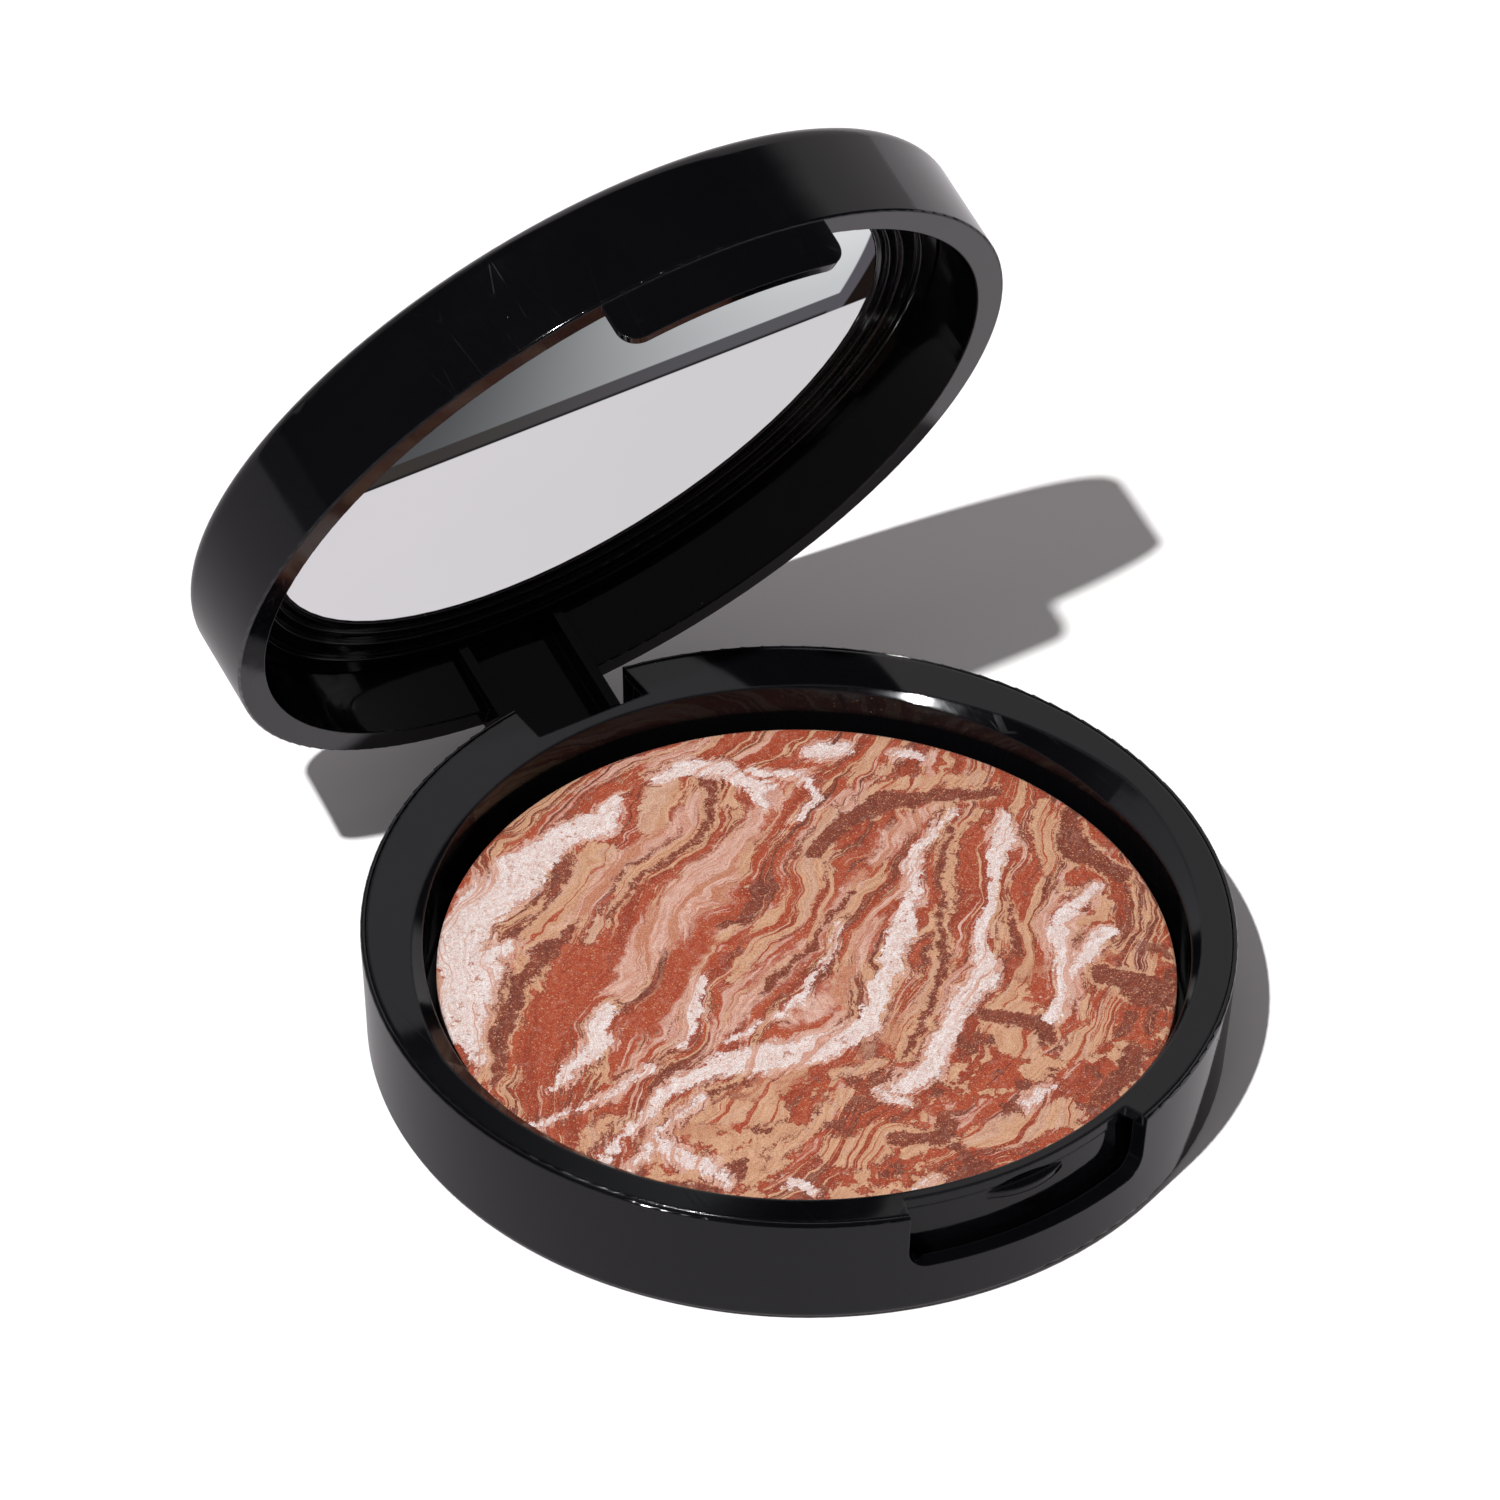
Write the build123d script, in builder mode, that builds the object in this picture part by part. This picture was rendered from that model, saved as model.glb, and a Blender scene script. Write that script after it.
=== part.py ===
"""Round powder compact: a hinged lid with a mirror over a base that holds a baked powder cake.

Units are millimetres.  The origin is the centre of the base's underside, +Z is up,
the latch is on -Y and the hinge on +Y.  The lid is drawn at its rest opening.
"""
import os
from math import cos, radians, sin

from build123d import *

os.makedirs("parts", exist_ok=True)

# ---------------------------------------------------------------- driving dimensions
OUT_R = 38.0            # outside radius of base and lid at the rim
BASE_H = 11.5           # base height, underside to rim
FOOT_R = 37.3           # outside radius at the foot: the wall leans in a little
SHELL_WALL = 1.5        # wall of the outer shell
FLOOR_T = 1.2           # floor of the outer shell
REBATE_R = 37.6         # rebate in the shell's top edge that takes the tray's flange
FLANGE_R = 37.55
FLANGE_T = 1.1
LABEL_R, LABEL_T = 16.0, 0.15

WELL_Y = -1.3           # the powder well sits a little towards the latch
WELL_R = 33.25
WELL_WALL = 1.0
WELL_FLOOR = 1.0
CAKE_Y, CAKE_R = -1.4, 32.1
TILE_T, GLUE_T = 2.2, 0.2
CAKE_EDGE_Z = BASE_H - 3.65
CAKE_TOP_Z = CAKE_EDGE_Z + 0.75
CAKE_ROUND = 0.45

SHOULDER_SLOPE = 51.0   # lean of the sloped shoulder round the well, from vertical
SHOULDER_CIRCLES = ((0.6, 35.2), (-3.8, 35.6))   # (y, radius) of its top edge

OPEN_DEG = 68.65        # opening of the lid at rest
HINGE_Y = 35.71
HINGE_Z = BASE_H - 6.66
PIN_R = 0.6
PIN_CLEAR = 0.05        # radial running clearance of the arm on the pin
PIN_ENDS = (-9.9, 10.6)
KNUCKLE_R = 1.95
NOTCH_HALF = 5.7
NOTCH_Y = 33.2
NOTCH_Z = 2.6
ARM_HALF = 5.4
CHEEK_T = 1.0
ARM_FRONT, ARM_WEB, ARM_BACK = 33.9, 36.1, 37.5
ARM_TOP = 6.3

LID_GAP = 0.3           # gap between the closed rims
LID_H = 9.9
LID_RIM_R = 35.33       # inside radius of the lid at its rim
LID_CEILING = 8.95
LID_EDGE = 1.6          # rounding of the lid's top edge
TAB_DROP = 4.34
TAB_HALF_DEG = 17.2
TAB_R = (36.7, 37.75)

RECESS_HALF_DEG = 18.5
RECESS_R = 35.6
RECESS_Z = BASE_H - 6.2
CATCH_HALF, CATCH_OUT = 3.7, 0.75
CATCH_Z, CATCH_T = BASE_H - 2.2, 0.7

MIRROR_R, MIRROR_T = 30.7, 0.8
MIRROR_GLUE_T = 0.15
MIRROR_FACE = LID_CEILING - MIRROR_GLUE_T - MIRROR_T

# ---------------------------------------------------------------- the lid's own frame
# lid z = 0 is the lower face of its rim and lid +z its closed "up"
LEAN = radians(OPEN_DEG)
RIM_UP = BASE_H + LID_GAP - HINGE_Z
LID = Plane(
    origin=(0, HINGE_Y * (1 - cos(LEAN)) + RIM_UP * sin(LEAN),
            HINGE_Z + HINGE_Y * sin(LEAN) + RIM_UP * cos(LEAN)),
    x_dir=(1, 0, 0),
    z_dir=(0, sin(LEAN), cos(LEAN)),
)
LID_AXIS = Axis(LID.origin, LID.z_dir)
# side planes: local x is the lid's x (or y), local y the lid's z
LID_XZ = Plane(origin=LID.origin, x_dir=LID.x_dir, z_dir=LID.y_dir * -1)
LID_YZ = Plane(origin=LID.origin, x_dir=LID.y_dir, z_dir=LID.x_dir)
LID_HINGE_Z = -RIM_UP


def front_sector(half_deg, r_in, r_out):
    """Draw the part of a ring within half_deg of -Y on the current sketch."""
    reach = 3 * r_out
    a = radians(half_deg)
    Circle(r_out)
    Circle(r_in, mode=Mode.SUBTRACT)
    Polygon((0, 0), (-reach * sin(a), -reach * cos(a)), (reach * sin(a), -reach * cos(a)),
            align=None, mode=Mode.INTERSECT)


def disc(plane, y, radius):
    """Draw one circle, y off the plane's origin, as a sketch."""
    with BuildSketch(plane) as sk:
        with Locations((0, y)):
            Circle(radius)
    return sk.sketch


# ---------------------------------------------------------------- cutters
with BuildPart() as shoulder_cut:
    for i, (y, r) in enumerate(SHOULDER_CIRCLES):
        extrude(disc(Plane.XY.offset(BASE_H), y, r), amount=-3.4, taper=SHOULDER_SLOPE,
                mode=Mode.ADD if i == 0 else Mode.INTERSECT)

with BuildPart() as latch_cut:
    with BuildSketch(Plane.XY.offset(RECESS_Z)):
        front_sector(RECESS_HALF_DEG, RECESS_R, 42)
    extrude(amount=10)
    floor_edges = latch_cut.faces().sort_by(Axis.Z)[0].edges().filter_by(GeomType.LINE)
    fillet(floor_edges, radius=2.0)

with BuildPart() as notch_cut:
    with BuildSketch(Plane.XY.offset(NOTCH_Z)):
        with Locations((0, NOTCH_Y)):
            Rectangle(2 * NOTCH_HALF, 10, align=(Align.CENTER, Align.MIN))
    extrude(amount=12)

# ---------------------------------------------------------------- base shell
WALL_IN = OUT_R - SHELL_WALL
FLANGE_Z = BASE_H - FLANGE_T

with BuildPart() as base_shell:
    with BuildSketch(Plane.XZ):
        with BuildLine():
            Polyline((0, LABEL_T), (LABEL_R, LABEL_T), (LABEL_R, 0), (FOOT_R, 0),
                     (OUT_R, BASE_H), (REBATE_R, BASE_H), (REBATE_R, FLANGE_Z),
                     (WALL_IN, FLANGE_Z), (FOOT_R - SHELL_WALL, FLOOR_T), (0, FLOOR_T),
                     close=True)
        make_face()
    revolve(axis=Axis.Z)
    rings = base_shell.edges().filter_by(GeomType.CIRCLE)
    fillet(rings.filter_by(lambda e: e.radius > FOOT_R - 0.05 and e.center().Z < 0.1), radius=0.9)
    fillet(rings.filter_by(lambda e: e.radius > OUT_R - 0.05), radius=0.25)
    # hinge lugs on either side of the notch, and the shelf behind the latch recess
    with BuildSketch(Plane.XY.offset(FLOOR_T)):
        with Locations((0, HINGE_Y)):
            Rectangle(25, 9)
        Circle(WALL_IN - 0.3, mode=Mode.INTERSECT)
        with Locations((0, WELL_Y)):
            Circle(WELL_R + WELL_WALL + 0.1, mode=Mode.SUBTRACT)
    extrude(amount=FLANGE_Z - FLOOR_T)
    with BuildSketch(Plane.XY.offset(FLOOR_T)):
        front_sector(RECESS_HALF_DEG + 2, RECESS_R + 0.1, WALL_IN - 0.2)
    extrude(amount=RECESS_Z - 0.45 - FLOOR_T)
    add(notch_cut.part, mode=Mode.SUBTRACT)
    add(latch_cut.part, mode=Mode.SUBTRACT)
    # bore for the hinge pin, open on the +X side where the pin goes in
    with BuildSketch(Plane.YZ.offset(PIN_ENDS[0])):
        with Locations((HINGE_Y, HINGE_Z)):
            Circle(PIN_R + 0.01)
    extrude(amount=30, mode=Mode.SUBTRACT)
base_shell.part.label = "base_shell"

# ---------------------------------------------------------------- tray: rim, shoulder and powder well
with BuildPart() as base_tray:
    extrude(disc(Plane.XY.offset(FLANGE_Z), 0, FLANGE_R), amount=FLANGE_T)
    extrude(disc(Plane.XY.offset(FLOOR_T), WELL_Y, WELL_R + WELL_WALL), amount=FLANGE_Z - FLOOR_T)
    rim_edge = base_tray.edges().filter_by(GeomType.CIRCLE).filter_by(
        lambda e: e.radius > FLANGE_R - 0.05).sort_by(Axis.Z)[-1]
    fillet(rim_edge, radius=0.15)
    extrude(disc(Plane.XY.offset(FLOOR_T + WELL_FLOOR), WELL_Y, WELL_R), amount=BASE_H,
            mode=Mode.SUBTRACT)
    add(shoulder_cut.part, mode=Mode.SUBTRACT)
    add(notch_cut.part, mode=Mode.SUBTRACT)
    add(latch_cut.part, mode=Mode.SUBTRACT)
    # half-moon catch on the back wall of the latch recess
    sag = CATCH_OUT + CATCH_HALF ** 2 / (2 * RECESS_R)
    catch_r = (CATCH_HALF ** 2 + sag ** 2) / (2 * sag)
    with BuildSketch(Plane.XY.offset(CATCH_Z)):
        with Locations((0, catch_r - RECESS_R - CATCH_OUT)):
            Circle(catch_r)
        Circle(RECESS_R - 0.35, mode=Mode.SUBTRACT)
        with Locations((0, -RECESS_R)):
            Rectangle(12, 4, mode=Mode.INTERSECT)
    extrude(amount=CATCH_T)
base_tray.part.label = "base_tray"

# ---------------------------------------------------------------- powder cake on its tile
GLUE_Z = FLOOR_T + WELL_FLOOR
TILE_Z = GLUE_Z + GLUE_T
CAKE_Z = TILE_Z + TILE_T

with BuildPart() as tile_glue:
    extrude(disc(Plane.XY.offset(GLUE_Z), CAKE_Y, 26), amount=GLUE_T)
tile_glue.part.label = "tile_glue"

with BuildPart() as powder_tile:
    extrude(disc(Plane.XY.offset(TILE_Z), CAKE_Y, CAKE_R - 0.5), amount=TILE_T)
    chamfer(powder_tile.faces().sort_by(Axis.Z)[0].edges(), length=0.5)
powder_tile.part.label = "powder_tile"

DOME_R = (CAKE_R ** 2 + (CAKE_TOP_Z - CAKE_EDGE_Z) ** 2) / (2 * (CAKE_TOP_Z - CAKE_EDGE_Z))
with BuildPart() as powder_cake:
    extrude(disc(Plane.XY.offset(CAKE_Z), CAKE_Y, CAKE_R), amount=CAKE_TOP_Z - CAKE_Z + 1)
    with Locations((0, CAKE_Y, CAKE_TOP_Z - DOME_R)):
        Sphere(DOME_R, mode=Mode.INTERSECT)
    crown = powder_cake.faces().sort_by(Axis.Z)[-1]
    fillet(crown.edges(), radius=CAKE_ROUND)
powder_cake.part.label = "powder_cake"

with BuildPart() as base_label:
    extrude(disc(Plane.XY, 0, LABEL_R - 0.1), amount=LABEL_T)
base_label.part.label = "base_label"

# ---------------------------------------------------------------- hinge pin
with BuildPart() as hinge_pin:
    with BuildSketch(Plane.YZ.offset(PIN_ENDS[0])):
        with Locations((HINGE_Y, HINGE_Z)):
            Circle(PIN_R)
    extrude(amount=PIN_ENDS[1] - PIN_ENDS[0])
    chamfer(hinge_pin.edges().filter_by(GeomType.CIRCLE), length=0.12)
hinge_pin.part.label = "hinge_pin"

# ---------------------------------------------------------------- lid shell
with BuildPart() as lid_shell:
    with BuildSketch(LID_XZ):
        with BuildLine():
            Polyline((LID_RIM_R, 0), (OUT_R, 0), (OUT_R - 0.1, LID_H), (0, LID_H),
                     (0, LID_CEILING), (LID_RIM_R - 0.3, LID_CEILING), close=True)
        make_face()
    revolve(axis=LID_AXIS)
    rings = lid_shell.edges().filter_by(GeomType.CIRCLE)
    fillet(rings.filter_by(lambda e: abs(e.radius - OUT_R + 0.1) < 0.02), radius=LID_EDGE)
    fillet(rings.filter_by(lambda e: abs(e.radius - OUT_R) < 0.02), radius=0.2)
    fillet(rings.filter_by(lambda e: abs(e.radius - LID_RIM_R) < 0.02), radius=0.12)
    # latch tab below the rim
    with BuildSketch(LID.offset(-TAB_DROP)):
        front_sector(TAB_HALF_DEG, *TAB_R)
    extrude(amount=TAB_DROP + 0.6)
    tab_ends = lid_shell.faces().filter_by(lambda f: f.normal_at().dot(LID.z_dir) < -0.99)
    fillet(tab_ends.sort_by(LID_AXIS)[0].edges().filter_by(GeomType.LINE), radius=2.0)
    # hinge arm: two cheeks joined by a web, running down to the knuckle
    with BuildSketch(LID_YZ.offset(-ARM_HALF)):
        with BuildLine():
            Polyline((ARM_FRONT, ARM_TOP), (36.8, ARM_TOP), (36.8, 0.8), (ARM_BACK, 0.3),
                     (ARM_BACK, LID_HINGE_Z), (ARM_FRONT, LID_HINGE_Z), close=True)
        make_face()
        with Locations((HINGE_Y, LID_HINGE_Z)):
            Circle(KNUCKLE_R)
    extrude(amount=2 * ARM_HALF)
    with BuildSketch(LID_YZ.offset(-ARM_HALF + CHEEK_T)):
        with Locations((ARM_WEB, LID_HINGE_Z + KNUCKLE_R + 0.4)):
            Rectangle(6, ARM_TOP - LID_HINGE_Z - KNUCKLE_R - 0.4, align=(Align.MAX, Align.MIN))
    extrude(amount=2 * (ARM_HALF - CHEEK_T), mode=Mode.SUBTRACT)
    with BuildSketch(LID_YZ.offset(-ARM_HALF - 1)):
        with Locations((HINGE_Y, LID_HINGE_Z)):
            Circle(PIN_R + PIN_CLEAR)
    extrude(amount=2 * ARM_HALF + 2, mode=Mode.SUBTRACT)
lid_shell.part.label = "lid_shell"

# ---------------------------------------------------------------- mirror, its glue and its ring
with BuildPart() as mirror_glue:
    extrude(disc(LID.offset(LID_CEILING - MIRROR_GLUE_T), 0, MIRROR_R - 2), amount=MIRROR_GLUE_T)
mirror_glue.part.label = "mirror_glue"

with BuildPart() as mirror_glass:
    extrude(disc(LID.offset(MIRROR_FACE), 0, MIRROR_R), amount=MIRROR_T)
    chamfer(mirror_glass.faces().sort_by(LID_AXIS)[0].edges(), length=0.15)
mirror_glass.part.label = "mirror_glass"

RING_IN, RING_OUT = MIRROR_R - 0.8, LID_RIM_R - 0.35
RING_STEPS = ((33.3, 0.55), (31.7, 0.5), (30.75, 0.35))   # (inner radius, rise) of each step
with BuildPart() as mirror_ring:
    with BuildSketch(LID_XZ):
        with BuildLine():
            z = ARM_TOP + 0.1
            pts = [(RING_OUT, LID_CEILING), (RING_OUT, z)]
            for r, rise in RING_STEPS:
                pts += [(r, z), (r, z + rise)]
                z += rise
            pts += [(RING_IN + 0.3, z), (RING_IN, z + 0.12), (RING_IN, MIRROR_FACE),
                    (MIRROR_R + 0.05, MIRROR_FACE), (MIRROR_R + 0.05, LID_CEILING)]
            Polyline(*pts, close=True)
        make_face()
    revolve(axis=LID_AXIS)
    soft = mirror_ring.edges().filter_by(GeomType.CIRCLE)
    for r, _ in RING_STEPS:
        fillet(soft.filter_by(lambda e: abs(e.radius - r) < 0.01).sort_by(LID_AXIS)[0], radius=0.18)
mirror_ring.part.label = "mirror_ring"

PIECES = (base_shell, base_tray, tile_glue, powder_tile, powder_cake, base_label, hinge_pin,
          lid_shell, mirror_glue, mirror_glass, mirror_ring)
for piece in PIECES:
    export_step(piece.part, f"parts/{piece.part.label}.step")
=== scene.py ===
import math

import bpy
import numpy as np
from mathutils import Matrix, Vector, noise


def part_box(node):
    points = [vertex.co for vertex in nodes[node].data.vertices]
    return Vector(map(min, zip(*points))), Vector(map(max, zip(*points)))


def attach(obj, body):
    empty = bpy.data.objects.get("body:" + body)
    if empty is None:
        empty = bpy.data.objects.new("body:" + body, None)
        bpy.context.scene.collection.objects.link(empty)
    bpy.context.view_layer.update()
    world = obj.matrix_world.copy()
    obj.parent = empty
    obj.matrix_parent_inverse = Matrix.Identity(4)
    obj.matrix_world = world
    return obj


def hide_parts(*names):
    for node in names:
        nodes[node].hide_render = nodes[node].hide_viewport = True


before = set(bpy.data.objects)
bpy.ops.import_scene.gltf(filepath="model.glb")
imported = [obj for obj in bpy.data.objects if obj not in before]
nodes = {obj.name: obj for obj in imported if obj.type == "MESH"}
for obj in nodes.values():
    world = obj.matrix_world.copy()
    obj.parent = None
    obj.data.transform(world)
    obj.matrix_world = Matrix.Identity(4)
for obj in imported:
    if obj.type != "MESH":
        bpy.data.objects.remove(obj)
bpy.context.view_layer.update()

# ---------------------------------------------------------------- camera
CAMERA_AT = Vector((-0.50756, -0.74942, 0.81134))
CAMERA_AIM = Vector((0.00175, 0.01104, 0.02294))
CAMERA_ROLL = 1.6026
LENS = 335.155


def put_camera():
    """Looks down on the open compact from its front left, far back on a long lens."""
    lens = bpy.data.cameras.new("studio_camera")
    lens.lens = LENS
    lens.sensor_width = 36.0
    lens.clip_start, lens.clip_end = 0.05, 30.0
    camera = bpy.data.objects.new("studio_camera", lens)
    bpy.context.scene.collection.objects.link(camera)
    forward = (CAMERA_AIM - CAMERA_AT).normalized()
    level = forward.cross(Vector((0, 0, 1))).normalized()
    turned = Matrix.Rotation(-math.radians(CAMERA_ROLL), 3, forward)
    right = turned @ level
    up = right.cross(forward)
    facing = Matrix((right, up, -forward)).transposed().to_4x4()
    camera.matrix_world = Matrix.Translation(CAMERA_AT) @ facing
    bpy.context.scene.camera = camera


put_camera()

# ---------------------------------------------------------------- node bench
def tint(code):
    """A paint-chart colour such as b1542f, as the linear colour that a shader takes."""
    steps = [int(code[i:i + 2], 16) / 255 for i in (0, 2, 4)]
    return tuple(s / 12.92 if s <= 0.04045 else ((s + 0.055) / 1.055) ** 2.4 for s in steps) + (1.0,)


def place(tree, kind, feeds=None, **settings):
    """Puts one shader node on the bench and plugs in what feeds it: a socket, or a plain value."""
    node = tree.nodes.new("ShaderNode" + kind)
    for name, value in settings.items():
        setattr(node, name, value)
    for name, value in (feeds or {}).items():
        if isinstance(value, bpy.types.NodeSocket):
            tree.links.new(value, node.inputs[name])
        else:
            node.inputs[name].default_value = value
    return node


def sums(tree, how, a, b=0.0, c=0.0, clamp=False):
    """One step of arithmetic on surface values."""
    return place(tree, "Math", {0: a, 1: b, 2: c}, operation=how, use_clamp=clamp).outputs[0]


def soft_step(tree, value, low, high, out_low=0.0, out_high=1.0):
    """Rises smoothly from out_low to out_high as value goes from low to high."""
    feeds = {"Value": value, 1: low, 2: high, 3: out_low, 4: out_high}
    return place(tree, "MapRange", feeds, interpolation_type="SMOOTHSTEP").outputs[0]


def lay_over(tree, mask, under, over, how="MIX"):
    """Lays one colour over another where the mask says."""
    return place(tree, "Mix", {0: mask, 6: under, 7: over}, data_type="RGBA", blend_type=how).outputs[2]


def blend(tree, mask, under, over):
    """One value where the mask is 0, another where it is 1."""
    return place(tree, "Mix", {0: mask, 2: under, 3: over}, data_type="FLOAT").outputs[0]


def speckle(tree, where, scale, detail=4.0, rough=0.55):
    """Cloudy noise of one grain size, from 0 to 1."""
    feeds = {"Vector": where, "Scale": scale, "Detail": detail, "Roughness": rough}
    return place(tree, "TexNoise", feeds).outputs["Fac"]


def stretched(tree, where, scale, turn=(0.0, 0.0, 0.0), shift=(0.0, 0.0, 0.0)):
    """The same place on the piece, turned, drawn out along an axis and shifted."""
    feeds = {"Vector": where, "Rotation": turn, "Scale": scale, "Location": shift}
    return place(tree, "Mapping", feeds).outputs[0]


def paced(tree, where, step):
    """The same place on the piece, counted in steps of one length."""
    return place(tree, "VectorMath", {0: where, 1: step}, operation="DIVIDE").outputs[0]


def millimetres(tree):
    """Where a point is on the piece, in millimetres."""
    spot = place(tree, "TexCoord").outputs["Object"]
    return place(tree, "VectorMath", {0: spot, 3: 1000.0}, operation="SCALE").outputs[0]


def one_channel(tree, colour, channel):
    """Red, green or blue of a colour, by its number."""
    return place(tree, "SeparateColor", {0: colour}).outputs[channel]


def emboss(tree, shader, height, strength, distance, over=None):
    """Raises a fine height on the surface; distance is in metres, and over is the normal it lies on."""
    feeds = {"Strength": strength, "Distance": distance, "Height": height}
    if over is not None:
        feeds["Normal"] = over
    tree.links.new(place(tree, "Bump", feeds).outputs[0], shader["Normal"])


def effect(name, takes, gives):
    """Starts a finish effect that several materials share, with its own named sockets."""
    group = bpy.data.node_groups.new(name, "ShaderNodeTree")
    for label, kind, value in takes:
        socket = group.interface.new_socket(label, in_out="INPUT", socket_type="NodeSocket" + kind)
        socket.default_value = value
    for label, kind in gives:
        group.interface.new_socket(label, in_out="OUTPUT", socket_type="NodeSocket" + kind)
    takes = group.nodes.new("NodeGroupInput").outputs
    return group, takes, group.nodes.new("NodeGroupOutput").inputs


def use(tree, group, feeds):
    """Places a shared effect in a material with that material's own values."""
    node = tree.nodes.new("ShaderNodeGroup")
    node.node_tree = group
    for name, value in feeds.items():
        if isinstance(value, bpy.types.NodeSocket):
            tree.links.new(value, node.inputs[name])
        else:
            node.inputs[name].default_value = value
    return node.outputs


def finish_coat(name, **plain):
    """A new material with its shader; plain values go straight on the shader's own sockets."""
    material = bpy.data.materials.new(name)
    material.use_nodes = True
    tree = material.node_tree
    shader = tree.nodes["Principled BSDF"]
    for label, value in plain.items():
        shader.inputs[label.replace("_", " ")].default_value = value
    return material, tree, shader.inputs


# ---------------------------------------------------------------- shared effects
def make_handling():
    """Faint finger smears and dry patches, which change the gloss and nothing else."""
    tree, takes, gives = effect(
        "handling_smears",
        [
            ("Place", "Vector", (0, 0, 0)),
            ("Size", "Float", 9.0),
            ("Least", "Float", 0.05),
            ("Most", "Float", 0.12),
        ],
        [("Roughness", "Float")],
    )
    broad = speckle(tree, paced(tree, takes["Place"], takes["Size"]), 1.0, 3.0, 0.5)
    ridges = speckle(tree, stretched(tree, takes["Place"], (2.6, 0.5, 1.4), (0.3, 0.2, 0.7)), 1.0, 2.0, 0.6)
    smear = soft_step(tree, sums(tree, "MULTIPLY_ADD", ridges, 0.35, broad), 0.55, 0.95)
    spread = sums(tree, "SUBTRACT", takes["Most"], takes["Least"])
    tree.links.new(sums(tree, "MULTIPLY_ADD", smear, spread, takes["Least"]), gives["Roughness"])
    return tree


# The ways the case has been wiped: how each is turned, in radians, and how far it is drawn out.
WIPES = [
    ((0.1, 0.2, 0.5), (1.0, 0.05, 0.7)),
    ((0.6, 0.1, 2.1), (1.0, 0.07, 0.7)),
    ((0.2, 0.9, 1.2), (1.0, 0.04, 0.7)),
]


def make_hairlines():
    """Hair-fine scratches in three directions from wiping and pocket wear."""
    tree, takes, gives = effect(
        "hairline_scratches",
        [("Place", "Vector", (0, 0, 0)), ("Spacing", "Float", 3.0), ("Width", "Float", 0.012)],
        [("Scratches", "Float")],
    )
    found = None
    for turn, drawn in WIPES:
        spot = paced(tree, stretched(tree, takes["Place"], drawn, turn), takes["Spacing"])
        cells = place(tree, "TexVoronoi", {"Vector": spot, "Scale": 1.0}, feature="DISTANCE_TO_EDGE")
        line = sums(tree, "LESS_THAN", cells.outputs["Distance"], takes["Width"])
        broken = soft_step(tree, speckle(tree, spot, 2.3, 2.0), 0.52, 0.62)
        thin = sums(tree, "MULTIPLY", line, broken)
        found = thin if found is None else sums(tree, "MAXIMUM", found, thin)
    tree.links.new(found, gives["Scratches"])
    return tree


def make_dust():
    """Sparse specks of settled dust, more of them on faces that look up."""
    tree, takes, gives = effect(
        "settled_dust",
        [
            ("Place", "Vector", (0, 0, 0)),
            ("Speck", "Float", 0.07),
            ("Apart", "Float", 2.2),
            ("Amount", "Float", 0.5),
        ],
        [("Dust", "Float")],
    )
    spot = paced(tree, takes["Place"], takes["Apart"])
    cells = place(tree, "TexVoronoi", {"Vector": spot, "Scale": 1.0})
    size = sums(tree, "DIVIDE", takes["Speck"], takes["Apart"])
    uneven = sums(tree, "MULTIPLY", size, speckle(tree, spot, 9.0))
    near = sums(tree, "LESS_THAN", cells.outputs["Distance"], uneven)
    some = sums(tree, "LESS_THAN", one_channel(tree, cells.outputs["Color"], 0), takes["Amount"])
    facing = place(tree, "SeparateXYZ", {0: place(tree, "NewGeometry").outputs["Normal"]}).outputs[2]
    upward = soft_step(tree, facing, -0.1, 0.6, 0.15, 1.0)
    tree.links.new(sums(tree, "MULTIPLY", sums(tree, "MULTIPLY", near, some), upward), gives["Dust"])
    return tree


def make_edge_wear():
    """Where the surface turns a corner: a mask for rubbed, slightly paler edges."""
    tree, takes, gives = effect(
        "edge_wear",
        [("Place", "Vector", (0, 0, 0)), ("Reach", "Float", 0.0003), ("Patchy", "Float", 0.6)],
        [("Edge", "Float")],
    )
    flat = place(tree, "NewGeometry").outputs["Normal"]
    rounded = place(tree, "Bevel", {"Radius": takes["Reach"]}, samples=4).outputs[0]
    square = place(tree, "VectorMath", {0: flat, 1: rounded}, operation="DOT_PRODUCT").outputs["Value"]
    corner = soft_step(tree, square, 0.995, 0.90)
    patches = soft_step(tree, speckle(tree, takes["Place"], 0.7, 5.0, 0.65), 0.3, 0.7)
    kept = sums(tree, "MULTIPLY_ADD", sums(tree, "SUBTRACT", patches, 1.0), takes["Patchy"], 1.0)
    tree.links.new(sums(tree, "MULTIPLY", corner, kept), gives["Edge"])
    return tree


def make_grain():
    """Fine pressed grain: a height for the bump and a value that darkens the hollows with painted shade."""
    tree, takes, gives = effect(
        "pressed_grain",
        [("Place", "Vector", (0, 0, 0)), ("Grain", "Float", 0.12), ("Pits", "Float", 1.1)],
        [("Height", "Float"), ("Pit", "Float"), ("Tone", "Float")],
    )
    fine = speckle(tree, paced(tree, takes["Place"], takes["Grain"]), 1.0, 3.0, 0.7)
    coarse = speckle(tree, takes["Place"], 1.6, 4.0, 0.6)
    wide = paced(tree, takes["Place"], takes["Pits"])
    cells = place(tree, "TexVoronoi", {"Vector": wide, "Scale": 1.0})
    pit = soft_step(tree, sums(tree, "MULTIPLY_ADD", fine, 0.10, cells.outputs["Distance"]), 0.16, 0.08)
    rare = sums(tree, "GREATER_THAN", one_channel(tree, cells.outputs["Color"], 1), 0.45)
    pit = sums(tree, "MULTIPLY", pit, rare)
    height = sums(tree, "MULTIPLY_ADD", coarse, 0.8, fine)
    tree.links.new(sums(tree, "MULTIPLY_ADD", pit, -1.2, height), gives["Height"])
    tree.links.new(pit, gives["Pit"])
    tree.links.new(fine, gives["Tone"])
    return tree


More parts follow.
